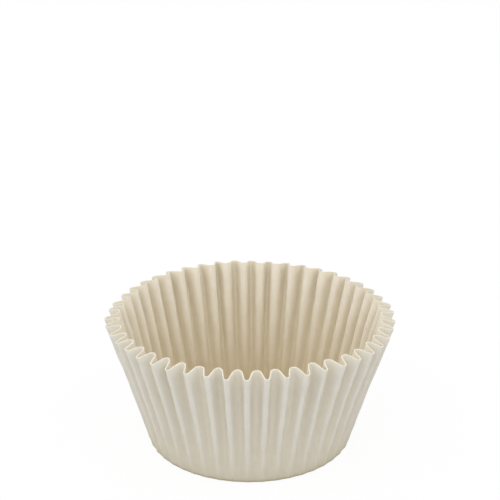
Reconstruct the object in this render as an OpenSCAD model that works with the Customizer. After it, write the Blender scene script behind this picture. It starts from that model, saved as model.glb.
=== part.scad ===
// Cupcake liner: one sheet of baking paper pressed into a pleated cup.
// The middle of a round blank stays flat as the base. The rest stands up as the
// wall, and its spare paper is taken up by pleats that deepen towards the rim.
// The base stands on z = 0, centred on the origin, with an outer fold at -Y.

/* [Cup] */
// Diameter of the base, across the fold that it shares with the wall
base_d = 50.8; // [46:0.2:56]
// Diameter of the rim, across the outer folds of the pleats
rim_d = 70.8; // [66:0.2:76]
// Length of the wall, measured up along the paper
wall_l = 34; // [28:0.5:40]
// How far the wall bows in, halfway up
wall_bow = 0.2; // [0:0.1:1]

/* [Pleats] */
// Number of pleats round the wall
pleats = 46; // [32:2:52]
// Radius of the outer folds, on the inside of the paper
ridge_fold_r = 0.55; // [0.2:0.05:0.8]
// Radius of the inner folds, on the outside of the paper
valley_fold_r = 0.9; // [0.3:0.05:1]

/* [Paper] */
// Thickness of the paper
paper_t = 0.25; // [0.15:0.05:0.35]
// Reach of the curve between the base and the wall, along each of them
base_fold_l = 0.9; // [0.6:0.1:1.5]
// Colour of the unbleached paper
paper_colour = "#f0e8d8";

/* [Hidden] */

base_r = base_d / 2;
rim_r = rim_d / 2;
// Radius of the flat part of the base
flat_r = base_r - base_fold_l;
// Turn from an outer fold to the inner fold beside it
half_pleat_a = 180 / pleats;
// Angle at which the wall leans out from the vertical
wall_lean = asin((rim_r - base_r) / wall_l);

// Steps round half an outer fold and half an inner fold
ridge_steps = 2;
valley_steps = 2;
// Steps up the wall, closer together near the base, where the pleats begin
wall_steps = 2;
wall_spacing = 2;
// Largest share of a half pleat's width that one fold's radius may take, so that the
// folds tighten towards the base
fold_share = 0.45;
// Width of the flat ring between the wall and the disc of the base, and how far
// the disc reaches over that ring
base_ring_w = 1.5;
base_lap = 0.8;

columns = 2 * pleats * (ridge_steps + valley_steps + 1);

// Radius of the outer folds, at a length s of paper above the base fold
function ridge_radius(s) =
    let (u = s / wall_l)
    base_r + (rim_r - base_r) * u - 4 * wall_bow * u * (1 - u);

// Paper between two neighbouring folds there, as in the flat blank
function flank_length(s) = PI * (base_r + s) / pleats;

// Radius of the inner folds, where that much paper ends
function valley_radius(s) =
    let (r = ridge_radius(s), half_chord = r * sin(half_pleat_a))
    r * cos(half_pleat_a) - sqrt(pow(flank_length(s), 2) - pow(half_chord, 2));

// Height of a fold at radius r, when s of paper reaches it from the base fold
function fold_height(s, r) = sqrt(s * s - pow(r - base_r, 2));

// A level of the wall is [outer fold's radius and height, inner fold's radius and height]
function wall_level(s) =
    let (ridge = ridge_radius(s), valley = valley_radius(s))
    [ridge, fold_height(s, ridge), valley, fold_height(s, valley)];

wall_levels = [
    for (i = [0 : wall_steps])
        wall_level(base_fold_l + (wall_l - base_fold_l) * pow(i / wall_steps, wall_spacing))
];

// Half a pleat in plan, from its outer fold to its inner fold, as [x, y, a]:
// y points out along the outer fold, and a is the angle of the outer side's normal.
// Two arcs are joined by the straight flank that touches both.
function half_pleat(ridge, valley) =
    let (
        room = fold_share * valley * sin(half_pleat_a),
        ridge_arc = min(ridge_fold_r + paper_t, room),
        valley_arc = min(valley_fold_r, room),
        ridge_c = [0, ridge - ridge_arc],
        valley_c = (valley + valley_arc) * [sin(half_pleat_a), cos(half_pleat_a)],
        span = valley_c - ridge_c,
        flank_a = atan2(span.y, span.x) + acos((ridge_arc + valley_arc) / norm(span)),
        ridge_turn = 90 - flank_a,
        valley_turn = 90 - half_pleat_a - flank_a
    )
    concat(
        [for (i = [0 : ridge_steps])
            let (a = 90 - ridge_turn * i / ridge_steps)
            [ridge_c.x + ridge_arc * cos(a), ridge_c.y + ridge_arc * sin(a), a]],
        [for (i = [0 : valley_steps])
            let (a = flank_a + valley_turn * i / valley_steps)
            [valley_c.x - valley_arc * cos(a), valley_c.y - valley_arc * sin(a), a]]
    );

// Point of the paper beside outer fold k, inset from the outer side.
// side is 1 past that fold and -1 before it.
function paper_point(level, k, side, plan, inset) =
    let (
        turn = 360 * k / pleats - 90,
        along = side * (plan.x - inset * cos(wall_lean) * cos(plan[2])),
        out = plan.y - inset * cos(wall_lean) * sin(plan[2]),
        climb = atan2(plan.x, plan.y) / half_pleat_a
    )
    [
        out * cos(turn) - along * sin(turn),
        out * sin(turn) + along * cos(turn),
        level[1] + (level[3] - level[1]) * climb + inset * sin(wall_lean)
    ];

// One closed line of points round the wall at a level
function wall_ring(level, inset) =
    let (plan = half_pleat(level[0], level[2]), last = len(plan) - 1)
    [for (k = [0 : pleats - 1], i = [0 : 2 * last - 1])
        i <= last
            ? paper_point(level, k, 1, plan[i], inset)
            : paper_point(level, k + 1, -1, plan[2 * last - i], inset)];

// A circle with a point straight in from each point of the wall's foot
function base_ring(foot, r, z) =
    [for (p = foot) concat([p.x, p.y] * r / norm([p.x, p.y]), z)];

// The flat ring of the base, and the middle of the fold between it and the wall. The
// fold is a curve that touches the base and the wall's foot, drawn towards the corner
// that they would meet in.
function base_rings(foot, inset) =
    let (
        edge = base_ring(foot, flat_r, inset),
        corner = base_ring(foot, base_r - inset * (1 - sin(wall_lean)) / cos(wall_lean), inset)
    )
    [base_ring(foot, flat_r - base_ring_w, inset), edge, (edge + 2 * corner + foot) / 4];

// One side of the paper, as closed lines of points from the base's ring to the rim
function paper_side(inset) =
    let (wall = [for (level = wall_levels) wall_ring(level, inset)])
    concat(base_rings(wall[0], inset), wall);

rings = wall_steps + 4;

// Place in the list of points: side 0 is the outer side of the paper, 1 the inner
function at(side, level, column) =
    (side * rings + level) * columns + column % columns;

// Two triangles that fill the cell between points a, b and c, d above them
function cell(a, b, c, d) = [[a, c, d], [a, d, b]];

// The pleated wall with the outer ring of the base
module wall() {
    top = rings - 1;
    points = [for (inset = [0, paper_t], line = paper_side(inset)) each line];
    base_edge = [for (i = [0 : columns - 1])
        each cell(at(1, 0, i), at(1, 0, i + 1), at(0, 0, i), at(0, 0, i + 1))];
    outer_side = [for (j = [0 : top - 1], i = [0 : columns - 1])
        each cell(at(0, j, i), at(0, j, i + 1), at(0, j + 1, i), at(0, j + 1, i + 1))];
    inner_side = [for (j = [0 : top - 1], i = [0 : columns - 1])
        each cell(at(1, j, i + 1), at(1, j, i), at(1, j + 1, i + 1), at(1, j + 1, i))];
    rim_edge = [for (i = [0 : columns - 1])
        each cell(at(0, top, i), at(0, top, i + 1), at(1, top, i), at(1, top, i + 1))];
    polyhedron(points, concat(base_edge, outer_side, inner_side, rim_edge), convexity = 10);
}

// The middle of the base
module base_disc() {
    cylinder(h = paper_t, r = flat_r - base_ring_w + base_lap, $fn = 60);
}

module liner() {
    color(paper_colour) union() {
        wall();
        base_disc();
    }
}

liner();
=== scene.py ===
"""A cupcake liner: one sheet of natural baking paper, pressed into a pleated cup."""
import math

import bpy
import numpy as np
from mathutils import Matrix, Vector


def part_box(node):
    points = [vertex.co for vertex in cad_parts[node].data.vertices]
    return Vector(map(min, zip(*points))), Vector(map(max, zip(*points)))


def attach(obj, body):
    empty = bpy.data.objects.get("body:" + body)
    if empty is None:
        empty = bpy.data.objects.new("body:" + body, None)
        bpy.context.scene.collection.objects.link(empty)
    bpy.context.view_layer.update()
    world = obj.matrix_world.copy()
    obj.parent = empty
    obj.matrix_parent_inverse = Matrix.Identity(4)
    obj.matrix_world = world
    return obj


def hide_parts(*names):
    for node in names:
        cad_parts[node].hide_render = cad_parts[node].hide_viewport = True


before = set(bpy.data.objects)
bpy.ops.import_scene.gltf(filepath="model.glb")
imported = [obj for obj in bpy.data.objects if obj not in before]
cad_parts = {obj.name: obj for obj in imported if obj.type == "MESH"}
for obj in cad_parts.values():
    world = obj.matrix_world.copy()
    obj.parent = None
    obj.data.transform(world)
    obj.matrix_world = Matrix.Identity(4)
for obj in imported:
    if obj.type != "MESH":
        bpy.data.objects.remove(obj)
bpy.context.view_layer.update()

MM = 0.001

# The cup, as in the solid apart from the radius of its folds
BASE_R = 25.4 * MM
RIM_R = -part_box("liner")[0].y
WALL_L = 34 * MM
WALL_BOW = 0.2 * MM
PLEATS = 46
RIDGE_FOLD_R = 0.5 * MM
VALLEY_FOLD_R = 1.2 * MM
# Largest share of a half pleat's width that one fold's radius may take
FOLD_SHARE = 0.45
PAPER_T = 0.25 * MM
BASE_FOLD_L = 0.9 * MM
HALF_PLEAT = math.pi / PLEATS
WALL_LEAN = math.asin((RIM_R - BASE_R) / WALL_L)
# Half the paper's thickness, measured level and measured upright
HALF_T_OUT = PAPER_T / 2 * math.cos(WALL_LEAN)
HALF_T_UP = PAPER_T / 2 * math.sin(WALL_LEAN)

# The flat blank's radius, and its two discs in the unit square of baked pictures
SHEET_R = BASE_R + WALL_L
BAKE_RADIUS = 0.285
BAKE_CENTRE = 0.29

# Fineness of the paper's mesh, across half a pleat and up the sheet. The wall's levels
# are closer together near the base, and the base has rings at these shares of its radius.
RIDGE_STEPS = 4
FLANK_STEPS = 3
VALLEY_STEPS = 3
WALL_LEVELS = 36
WALL_SPACING = 1.35
FOLD_LEVELS = 4
BASE_RINGS = (0.04, 0.2, 0.4, 0.58, 0.72, 0.83, 0.91, 0.965)
# The cut edge is shaded as a sharp one, because it turns by more than this
SHARP_ANGLE = math.radians(60)

# Real folds are a little off their even places: by a share of half a pleat round the
# cup, and in their radius and height at the rim
SEED = 7
FOLD_SWAY = 0.1
FOLD_DEPTH = 0.12 * MM
FOLD_HEIGHT = 0.09 * MM
# The sway and the depth grow up the wall by these powers of its length, the height evenly
SWAY_POWER = 0.6
DEPTH_POWER = 0.5
# The rim is a little off centre, oval and wavy
RIM_SHIFT = 0.25 * MM
RIM_OVAL = 0.3 * MM
RIM_WAVE = 0.12 * MM
RIM_WAVES = (3, 5, 8)
# Shallow dents, which are full this far above the base fold
DENT = 0.05 * MM
DENT_WAVES = 14
DENT_LENGTHS = (4 * MM, 12 * MM)
DENT_RISE_L = 6 * MM
# A faint dome in the base, and puckers in the outer part of it: so many round the base
BASE_DOME = 0.12 * MM
BASE_PUCKER = 0.07 * MM
PUCKERS = (PLEATS // 2, 31, PLEATS, 55)
PUCKERS_START = 0.78
PUCKERS_REACH = 0.2

# Colours of the paper's outer and inner side, and its clouds. The inner side's deeper, yellower
# colour is painted bounce light and shade in the cup's hollow.
WHITE = (1, 1, 1, 1)
OUTER_COLOUR = (0.85, 0.832, 0.765, 1)
INNER_PAINTED_BOUNCE_COLOUR = (0.86, 0.768, 0.605, 1)
CLOUD_SHADE = (0.97, 0.965, 0.95, 1)
# Noise at which the clouds start, and at which they are full
CLOUD_LEVELS = (0.3, 0.65)
# The inner side has its full colour, with its painted bounce light and shade, at the base, and by
# this share less of it at the rim
RIM_FADE = 0.65
# Painted light on the folds: a raised fold gets a cooler painted highlight and a sunk one a warmer
# painted bounce, a little lighter, which softens the shading between them.
# The tints start and are full at these shares of the way to a ridge, and both are full this far
# above the base fold.
SUNK_FOLD_PAINTED_BOUNCE = (1.012, 1.005, 0.989, 1)
RAISED_FOLD_PAINTED_HIGHLIGHT = (0.99, 0.996, 1.016, 1)
PAINTED_FOLD_LIGHT_LEVELS = (0.2, 0.6)
PAINTED_FOLD_LIGHT_L = 15 * MM
# Painted shade where the foot meets the table, darker towards the base fold on both sides of the
# sheet: each share fades over its reach
PAINTED_CONTACT_SHADE_COLOUR = (0.25, 0.18, 0, 1)
PAINTED_CONTACT_SHADES = ((0.22, 10 * MM), (0.2, 1.5 * MM), (0.4, 0.5 * MM))

# The paper's noise, for each millimetre of the flat sheet
CLOUDS = {"Scale": 0.5, "Detail": 4, "Roughness": 0.6}
FIBRES = {"Scale": 5, "Detail": 6, "Roughness": 0.65}
FIBRE_HEIGHT = 0.03 * MM
FIBRE_STRENGTH = 0.35
# Its gloss, and the light that comes through it
PAPER_ROUGHNESS = 0.82
PAPER_SPECULAR = 0.3
GLOW_COLOUR = (0.84, 0.77, 0.63, 1)
GLOW_SHARE = 0.25

# The floor: how white it is where it is seen, the share of it that is plain white there
# and takes no shadow, and how white it is for the light that it throws back
FLOOR_SIZE = 6
FLOOR_GAP = 0.02 * MM
FLOOR_SEEN = 0.85
FLOOR_WHITE = 0.93
FLOOR_BOUNCE = 0.5

# Light from all round, and the soft boxes: place and side in metres, and watts
SOFT_LIGHT = 0.89
LAMPS = {
    "top_box": ((-0.1, 0, 1.2), 1.4, 0.8),
    "left_box": ((-1.0, -0.3, 0.7), 1.4, 5.3),
    "right_box": ((1.0, -0.3, 0.7), 1.4, 3.7),
    "front_box": ((0, -1.2, 0.3), 1.8, 8.3),
}
LAMPS_AIM = Vector((0, 0, 15 * MM))

# The photograph's view of the liner, in degrees round and up
CAMERA_AZIMUTH = 1.06
CAMERA_ELEVATION = 22.15
CAMERA_DISTANCE = 350 * MM
CAMERA_TARGET = Vector((0.12 * MM, 0, 49.9 * MM))
CAMERA_CLIP = (0.01, 20)
SENSOR_MM = 36
FOCAL_PX = 1444.6
FRAME_PX = 500


def ridge_radius(s):
    """Radius of the outer folds, at a length s of paper above the base fold."""
    u = s / WALL_L
    return BASE_R + (RIM_R - BASE_R) * u - 4 * WALL_BOW * u * (1 - u)


def valley_radius(s):
    """Radius of the inner folds there, where the flat blank's paper ends."""
    r = ridge_radius(s)
    flank = HALF_PLEAT * (BASE_R + s)
    return r * math.cos(HALF_PLEAT) - math.sqrt(flank**2 - (r * math.sin(HALF_PLEAT)) ** 2)


def half_pleat(s):
    """Middle of the paper in plan, from an outer fold to the inner fold beside it.

    Two arcs are joined by the straight flank that touches both.
    """
    ridge, valley = ridge_radius(s), valley_radius(s)
    room = FOLD_SHARE * valley * math.sin(HALF_PLEAT)
    ridge_arc = min(RIDGE_FOLD_R + PAPER_T, room)
    valley_arc = min(VALLEY_FOLD_R, room)
    ridge_c = np.array([0, ridge - ridge_arc])
    valley_c = (valley + valley_arc) * np.array([math.sin(HALF_PLEAT), math.cos(HALF_PLEAT)])
    span = valley_c - ridge_c
    flank_a = math.atan2(span[1], span[0])
    flank_a += math.acos((ridge_arc + valley_arc) / np.hypot(*span))
    ridge_a = np.linspace(math.pi / 2, flank_a, RIDGE_STEPS + 1)
    valley_a = np.linspace(flank_a, math.pi / 2 - HALF_PLEAT, VALLEY_STEPS + 1)
    on_ridge = ridge_c + (ridge_arc - HALF_T_OUT) * np.c_[np.cos(ridge_a), np.sin(ridge_a)]
    on_valley = valley_c - (valley_arc + HALF_T_OUT) * np.c_[np.cos(valley_a), np.sin(valley_a)]
    share = np.linspace(0, 1, FLANK_STEPS + 1)[1:-1, None]
    flank = on_ridge[-1] * (1 - share) + on_valley[0] * share
    return np.concatenate([on_ridge, flank, on_valley])


def wall_line(s):
    """One line round the wall: [angle, radius, height, angle in the flat blank]."""
    plan = half_pleat(s)
    angle = np.arctan2(plan[:, 0], plan[:, 1])
    radius = np.hypot(plan[:, 0], plan[:, 1])
    height = np.sqrt(s**2 - (radius + HALF_T_OUT - BASE_R) ** 2) + HALF_T_UP
    path = np.r_[0, np.cumsum(np.hypot(*np.diff(plan, axis=0).T))]
    blank = HALF_PLEAT * path / path[-1]
    back = slice(-2, 0, -1)
    starts = 2 * HALF_PLEAT * np.arange(PLEATS)[:, None]
    return np.array([
        (starts + np.r_[angle, 2 * HALF_PLEAT - angle[back]]).ravel(),
        np.tile(np.r_[radius, radius[back]], PLEATS),
        np.tile(np.r_[height, height[back]], PLEATS),
        (starts + np.r_[blank, 2 * HALF_PLEAT - blank[back]]).ravel(),
    ])


def sheet_lines():
    """The middle of the paper as lines round the cup, from the base out to the rim.

    Gives the length of paper from the base fold to each line, less than 0 on the base,
    and the lines themselves.
    """
    climb = np.linspace(0, 1, WALL_LEVELS + 1) ** WALL_SPACING
    lengths = BASE_FOLD_L + (WALL_L - BASE_FOLD_L) * climb
    wall = [wall_line(s) for s in lengths]
    foot = wall[0]

    def base_line(r):
        return np.array([foot[0], r + 0 * foot[1], PAPER_T / 2 + 0 * foot[2], foot[3]])

    flat_r = BASE_R - BASE_FOLD_L
    edge = base_line(flat_r)
    corner = base_line(BASE_R - PAPER_T / 2 * (1 - math.sin(WALL_LEAN)) / math.cos(WALL_LEAN))
    steps = np.arange(FOLD_LEVELS) / FOLD_LEVELS
    fold = [(1 - t) ** 2 * edge + 2 * t * (1 - t) * corner + t**2 * foot for t in steps]
    flat = [base_line(share * flat_r) for share in BASE_RINGS]
    flat_lengths = flat_r * np.array(BASE_RINGS) - BASE_R
    fold_lengths = BASE_FOLD_L * (2 * steps - 1)
    return np.concatenate([flat_lengths, fold_lengths, lengths]), np.array(flat + fold + wall)


def uneven_folds(lengths, angle, radius, height):
    """Moves the folds a little off their even places, more towards the rim."""
    draw = np.random.default_rng(SEED)
    rise = np.clip(lengths / WALL_L, 0, 1)[:, None]
    place = (angle / HALF_PLEAT) % (2 * PLEATS)
    before = np.floor(place).astype(int) % (2 * PLEATS)
    share = place - np.floor(place)

    def between_folds(values):
        after = np.roll(values, -1)
        return values[before] * (1 - share) + after[before] * share

    sway = between_folds(draw.normal(0, FOLD_SWAY * HALF_PLEAT, 2 * PLEATS))
    depth = between_folds(draw.normal(0, FOLD_DEPTH, 2 * PLEATS))
    lift = between_folds(draw.normal(0, FOLD_HEIGHT, 2 * PLEATS))
    shape = RIM_SHIFT * np.sin(angle) - RIM_OVAL * np.cos(2 * angle)
    for lobes, phase in zip(RIM_WAVES, draw.uniform(0, 2 * math.pi, len(RIM_WAVES))):
        shape += RIM_WAVE * np.sin(lobes * angle + phase)
    angle = angle + sway * rise**SWAY_POWER
    radius = radius + depth * rise**DEPTH_POWER + shape * rise
    height = height + lift * rise
    return angle, radius, height


def normals_of(points):
    """Unit normals of a grid that closes round its columns, out of the cup."""
    across = np.roll(points, -1, axis=1) - np.roll(points, 1, axis=1)
    up = np.gradient(points, axis=0)
    normal = np.cross(across, up)
    return normal / np.linalg.norm(normal, axis=2, keepdims=True)


def soft_dents(lengths, blank):
    """Shallow dents of pressed paper, as a height along its normal."""
    draw = np.random.default_rng(SEED + 1)
    reach = (BASE_R + lengths)[:, None]
    x, y = reach * np.cos(blank), reach * np.sin(blank)
    total = np.zeros_like(blank)
    for _ in range(DENT_WAVES):
        heading = draw.uniform(0, 2 * math.pi)
        length = draw.uniform(*DENT_LENGTHS)
        phase = draw.uniform(0, 2 * math.pi)
        along = x * math.cos(heading) + y * math.sin(heading)
        total += np.sin(2 * math.pi * along / length + phase)
    rise = np.clip(lengths / DENT_RISE_L, 0, 1)[:, None]
    return total * DENT / math.sqrt(DENT_WAVES) * rise


def base_relief(lengths, angle, radius):
    """Height of the base above the table: a faint dome, puckered at its edge."""
    draw = np.random.default_rng(SEED + 2)
    share = np.clip(radius / BASE_R, 0, 1)
    pucker = np.zeros_like(angle)
    for lobes in PUCKERS:
        pucker += np.sin(lobes * angle + draw.uniform(0, 2 * math.pi))
    pucker = np.clip(pucker / len(PUCKERS) + 0.5, 0, 1)
    edge = np.clip((share - PUCKERS_START) / PUCKERS_REACH, 0, 1) ** 2
    on_base = lengths[:, None] < -0.5 * BASE_FOLD_L
    return (BASE_DOME * (1 - share**2) + BASE_PUCKER * pucker * edge) * on_base


def sheet_faces(rings, columns):
    """Faces of the outer side, the inner side, the cut edge and the middles, in turn.

    Points are counted ring by ring on the outer side and then on the inner side. The
    last two are the middle of the base, below and above.
    """
    index = np.arange(2 * rings * columns).reshape(2, rings, columns)
    outer, inner = index
    outer_next, inner_next = np.roll(index, -1, axis=2)
    cells = [
        [outer[:-1], outer_next[:-1], outer_next[1:], outer[1:]],
        [inner[:-1], inner[1:], inner_next[1:], inner_next[:-1]],
        [outer[-1:], outer_next[-1:], inner_next[-1:], inner[-1:]],
    ]
    faces = np.concatenate([np.stack(cell, axis=2).reshape(-1, 4) for cell in cells]).tolist()
    below, above = index.size, index.size + 1
    faces += [[below, b, a] for a, b in zip(outer[0].tolist(), outer_next[0].tolist())]
    faces += [[above, a, b] for a, b in zip(inner[0].tolist(), inner_next[0].tolist())]
    return faces


def add_flat_maps(mesh, lengths, blank, inner_side):
    """Lays the sheet flat in two UV maps: in millimetres for the paper's texture, and
    as two discs in the unit square for pictures of its two sides, with the cut edge as
    a thin ring round the outer side's disc.
    """
    reach = (BASE_R + lengths)[:, None]
    side = np.stack([reach * np.cos(blank), reach * np.sin(blank)], axis=2).reshape(-1, 2)
    corner = np.zeros(len(mesh.loops), dtype=np.int32)
    mesh.loops.foreach_get("vertex_index", corner)
    flat = np.concatenate([side, side, np.zeros((2, 2))])[corner]
    mesh.uv_layers.new(name="blank_mm").data.foreach_set("uv", (flat / MM).ravel())

    # A face has four corners, and the cut edge's faces follow those of both sides
    rings, columns = blank.shape
    cut_edge = np.zeros(len(corner), dtype=bool)
    cut_edge[8 * (rings - 1) * columns:][:4 * columns] = True
    inner = inner_side[corner] == 1
    spread = np.where(cut_edge & inner, 1 + PAPER_T / SHEET_R, 1)
    centre = np.where(inner & ~cut_edge, 1 - BAKE_CENTRE, BAKE_CENTRE)
    disc = flat * BAKE_RADIUS / (SHEET_R + PAPER_T) * spread[:, None] + centre[:, None]
    mesh.uv_layers.new(name="OFBake").data.foreach_set("uv", disc.ravel())


def add_value(mesh, name, values):
    """A value at each point, which the material reads by that name."""
    mesh.attributes.new(name, "FLOAT", "POINT").data.foreach_set("value", values)


def paper_mesh():
    """The closed sheet: its outer side, its inner side and the cut edge between."""
    lengths, lines = sheet_lines()
    angle, radius, height, blank = lines.transpose(1, 0, 2)
    # Painted light on the folds: cool on the raised ones, warm on the sunk ones
    painted_fold_tint = np.cos(PLEATS * angle) * np.clip(lengths / PAINTED_FOLD_LIGHT_L, 0, 1)[:, None]
    # Painted shade where the foot meets the table, darkest at the base fold
    painted_contact_shade = sum(share * np.exp(-abs(lengths) / reach) for share, reach in PAINTED_CONTACT_SHADES)
    angle, radius, height = uneven_folds(lengths, angle, radius, height)
    height = height + base_relief(lengths, angle, radius)
    middle = np.stack([radius * np.sin(angle), -radius * np.cos(angle), height], axis=2)
    middle += normals_of(middle) * soft_dents(lengths, blank)[:, :, None]
    normal = normals_of(middle)
    sides = [middle + normal * PAPER_T / 2, middle - normal * PAPER_T / 2]
    middles = [[0, 0, BASE_DOME], [0, 0, BASE_DOME + PAPER_T]]
    points = np.concatenate([side.reshape(-1, 3) for side in sides] + [middles])

    rings, columns = angle.shape
    mesh = bpy.data.meshes.new("paper_liner")
    mesh.from_pydata(points.tolist(), [], sheet_faces(rings, columns))
    inner_side = np.repeat([0, 1, 0, 1], [rings * columns, rings * columns, 1, 1])
    add_flat_maps(mesh, lengths, blank, inner_side)
    # Painted bounce light and shade on the inner side, fullest at the base
    painted_bounce = 1 - RIM_FADE * np.clip(lengths / WALL_L, 0, 1)
    add_value(mesh, "painted_bounce_inside", np.r_[np.zeros(angle.size), np.repeat(painted_bounce, columns), 0, 1])
    add_value(mesh, "fold_painted_light", np.r_[painted_fold_tint.ravel(), -painted_fold_tint.ravel(), 0, 0])
    add_value(mesh, "painted_contact_shade", np.r_[np.tile(np.repeat(painted_contact_shade, columns), 2), 0, 0])
    mesh.shade_smooth()
    mesh.set_sharp_from_angle(angle=SHARP_ANGLE)
    mesh.validate()
    return mesh


def empty_tree(owner):
    """The node tree of a material or a world, with nothing in it."""
    owner.use_nodes = True
    owner.node_tree.nodes.clear()
    return owner.node_tree


def feed(tree, socket, value):
    """Gives an input its value, or links it to another node's output."""
    if isinstance(value, bpy.types.NodeSocket):
        tree.links.new(value, socket)
    else:
        socket.default_value = value


def add(tree, kind, **values):
    """A shader node with its settings and what its inputs are fed."""
    node = tree.nodes.new(kind)
    for name, value in values.items():
        if hasattr(node, name):
            setattr(node, name, value)
        else:
            feed(tree, node.inputs[name.replace("_", " ")], value)
    return node


def add_math(tree, operation, first, second):
    """The result of an operation on two values."""
    node = add(tree, "ShaderNodeMath", operation=operation)
    feed(tree, node.inputs[0], first)
    feed(tree, node.inputs[1], second)
    return node.outputs[0]


def mixed_shader(tree, share, first, second):
    """The first shader, with a share of the second in its place."""
    mix = add(tree, "ShaderNodeMixShader", Fac=share)
    tree.links.new(first.outputs[0], mix.inputs[1])
    tree.links.new(second.outputs[0], mix.inputs[2])
    return mix.outputs["Shader"]


def mixed_colour(tree, share, first, second, blend="MIX"):
    """The first colour, with a share of the second blended in."""
    node = add(
        tree, "ShaderNodeMix", data_type="RGBA", blend_type=blend,
        Factor=share, A=first, B=second,
    )
    return node.outputs["Result"]


def share_between(tree, value, low, high):
    """0 where the value is low or less, and 1 where it is high or more."""
    node = add(tree, "ShaderNodeMapRange", From_Min=low, From_Max=high, Value=value)
    return node.outputs["Result"]


def point_value(tree, name):
    """A value that the mesh holds at each point."""
    return add(tree, "ShaderNodeAttribute", attribute_name=name).outputs["Fac"]


def sheet_noise(tree, settings):
    """Noise over the flat sheet."""
    where = add(tree, "ShaderNodeUVMap", uv_map="blank_mm").outputs["UV"]
    node = add(tree, "ShaderNodeTexNoise", noise_dimensions="2D", Vector=where, **settings)
    return node.outputs["Fac"]


def paper_colour(tree):
    """The colour of each side, the inner one with painted bounce light and shade, with clouds, the
    folds' painted light and the painted shade towards the base fold.
    """
    # The inner side's colour holds painted bounce light and shade
    side = mixed_colour(tree, point_value(tree, "painted_bounce_inside"), OUTER_COLOUR, INNER_PAINTED_BOUNCE_COLOUR)
    clouds = share_between(tree, sheet_noise(tree, CLOUDS), *CLOUD_LEVELS)
    cloudy = mixed_colour(tree, clouds, WHITE, CLOUD_SHADE)
    clouded = mixed_colour(tree, 1, side, cloudy, "MULTIPLY")
    # Painted light on the folds: a cool tint on raised ones, a warm one on sunk ones
    raised = share_between(tree, point_value(tree, "fold_painted_light"), *PAINTED_FOLD_LIGHT_LEVELS)
    tone = mixed_colour(tree, raised, SUNK_FOLD_PAINTED_BOUNCE, RAISED_FOLD_PAINTED_HIGHLIGHT)
    toned = mixed_colour(tree, 1, clouded, tone, "MULTIPLY")
    # Painted shade towards the base fold, where the foot meets the table
    return mixed_colour(tree, point_value(tree, "painted_contact_shade"), toned, PAINTED_CONTACT_SHADE_COLOUR)


def paper_material():
    """Natural baking paper: matt, cloudy, fibrous and a little translucent."""
    material = bpy.data.materials.new("baking_paper")
    tree = empty_tree(material)
    fibres = sheet_noise(tree, FIBRES)
    bump = add(
        tree, "ShaderNodeBump",
        Strength=FIBRE_STRENGTH, Distance=FIBRE_HEIGHT, Height=fibres,
    )
    grain = bump.outputs["Normal"]
    paper = add(
        tree, "ShaderNodeBsdfPrincipled", Base_Color=paper_colour(tree),
        Roughness=PAPER_ROUGHNESS, Specular_IOR_Level=PAPER_SPECULAR, Normal=grain,
    )
    glow = add(tree, "ShaderNodeBsdfTranslucent", Color=GLOW_COLOUR, Normal=grain)
    add(tree, "ShaderNodeOutputMaterial", Surface=mixed_shader(tree, GLOW_SHARE, paper, glow))
    return material


def make_liner():
    """The paper cup, in place of the solid."""
    piece = bpy.data.objects.new("paper_liner", paper_mesh())
    bpy.context.scene.collection.objects.link(piece)
    piece.data.materials.append(paper_material())
    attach(piece, "root")
    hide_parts("liner")


def seen_directly(tree):
    """1 where the camera, a mirror image or clear glass shows the surface, or else 0."""
    path = add(tree, "ShaderNodeLightPath")
    seen = path.outputs["Is Camera Ray"]
    for name in ("Is Glossy Ray", "Is Transmission Ray"):
        seen = add_math(tree, "MAXIMUM", seen, path.outputs[name])
    return seen


def floor_material():
    """White where it is seen, with a soft shadow, and greyer for the light it throws back."""
    material = bpy.data.materials.new("floor_white")
    tree = empty_tree(material)
    seen = seen_directly(tree)
    shade = add(
        tree, "ShaderNodeMapRange",
        To_Min=FLOOR_BOUNCE, To_Max=FLOOR_SEEN, Value=seen,
    )
    matt = add(tree, "ShaderNodeBsdfDiffuse", Color=shade.outputs["Result"])
    white = add(tree, "ShaderNodeEmission")
    share = add_math(tree, "MULTIPLY", seen, FLOOR_WHITE)
    add(tree, "ShaderNodeOutputMaterial", Surface=mixed_shader(tree, share, matt, white))
    return material


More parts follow.
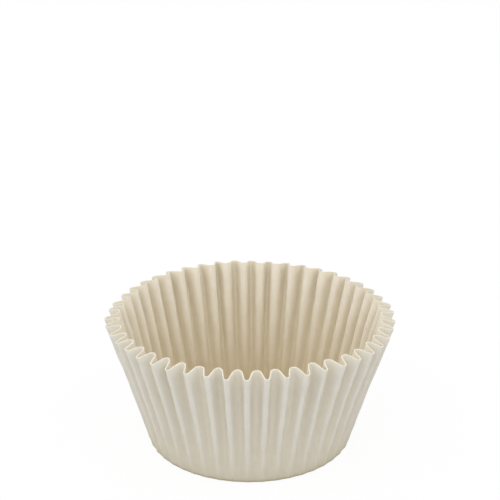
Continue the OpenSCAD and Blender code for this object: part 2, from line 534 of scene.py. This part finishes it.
def make_floor():
    """A plain white floor that keeps the liner's soft shadow."""
    side = FLOOR_SIZE / 2
    mesh = bpy.data.meshes.new("floor")
    corners = [(-side, -side, 0), (side, -side, 0), (side, side, 0), (-side, side, 0)]
    mesh.from_pydata(corners, [], [(0, 1, 2, 3)])
    mesh.materials.append(floor_material())
    floor = bpy.data.objects.new("floor", mesh)
    floor.location.z = -FLOOR_GAP
    bpy.context.scene.collection.objects.link(floor)


def make_world():
    """Soft light from all round, and a white background."""
    world = bpy.data.worlds.new("studio")
    tree = empty_tree(world)
    soft = add(tree, "ShaderNodeBackground", Color=WHITE, Strength=SOFT_LIGHT)
    white = add(tree, "ShaderNodeBackground", Color=WHITE, Strength=1)
    surface = mixed_shader(tree, seen_directly(tree), soft, white)
    add(tree, "ShaderNodeOutputWorld", Surface=surface)
    bpy.context.scene.world = world


def make_lamps():
    """Broad soft boxes overhead, at both sides and in front."""
    for name, (place, side, watts) in LAMPS.items():
        lamp = bpy.data.lights.new(name, "AREA")
        lamp.shape = "SQUARE"
        lamp.size = side
        lamp.energy = watts
        holder = bpy.data.objects.new(name, lamp)
        holder.location = place
        holder.rotation_mode = "QUATERNION"
        holder.rotation_quaternion = (LAMPS_AIM - Vector(place)).to_track_quat("-Z", "Y")
        bpy.context.scene.collection.objects.link(holder)


def make_camera():
    """The photograph's view of the liner."""
    turn, tilt = math.radians(CAMERA_AZIMUTH), math.radians(CAMERA_ELEVATION)
    back = Vector((
        math.sin(turn) * math.cos(tilt),
        -math.cos(turn) * math.cos(tilt),
        math.sin(tilt),
    ))
    lens = bpy.data.cameras.new("camera")
    lens.sensor_width = SENSOR_MM
    lens.lens = SENSOR_MM * FOCAL_PX / FRAME_PX
    lens.clip_start, lens.clip_end = CAMERA_CLIP
    camera = bpy.data.objects.new("camera", lens)
    camera.location = CAMERA_TARGET + back * CAMERA_DISTANCE
    camera.rotation_mode = "QUATERNION"
    camera.rotation_quaternion = (-back).to_track_quat("-Z", "Y")
    bpy.context.scene.collection.objects.link(camera)
    bpy.context.scene.camera = camera


make_camera()
make_liner()
make_floor()
make_world()
make_lamps()
bpy.context.scene.view_settings.view_transform = "Standard"

bpy.context.view_layer.update()
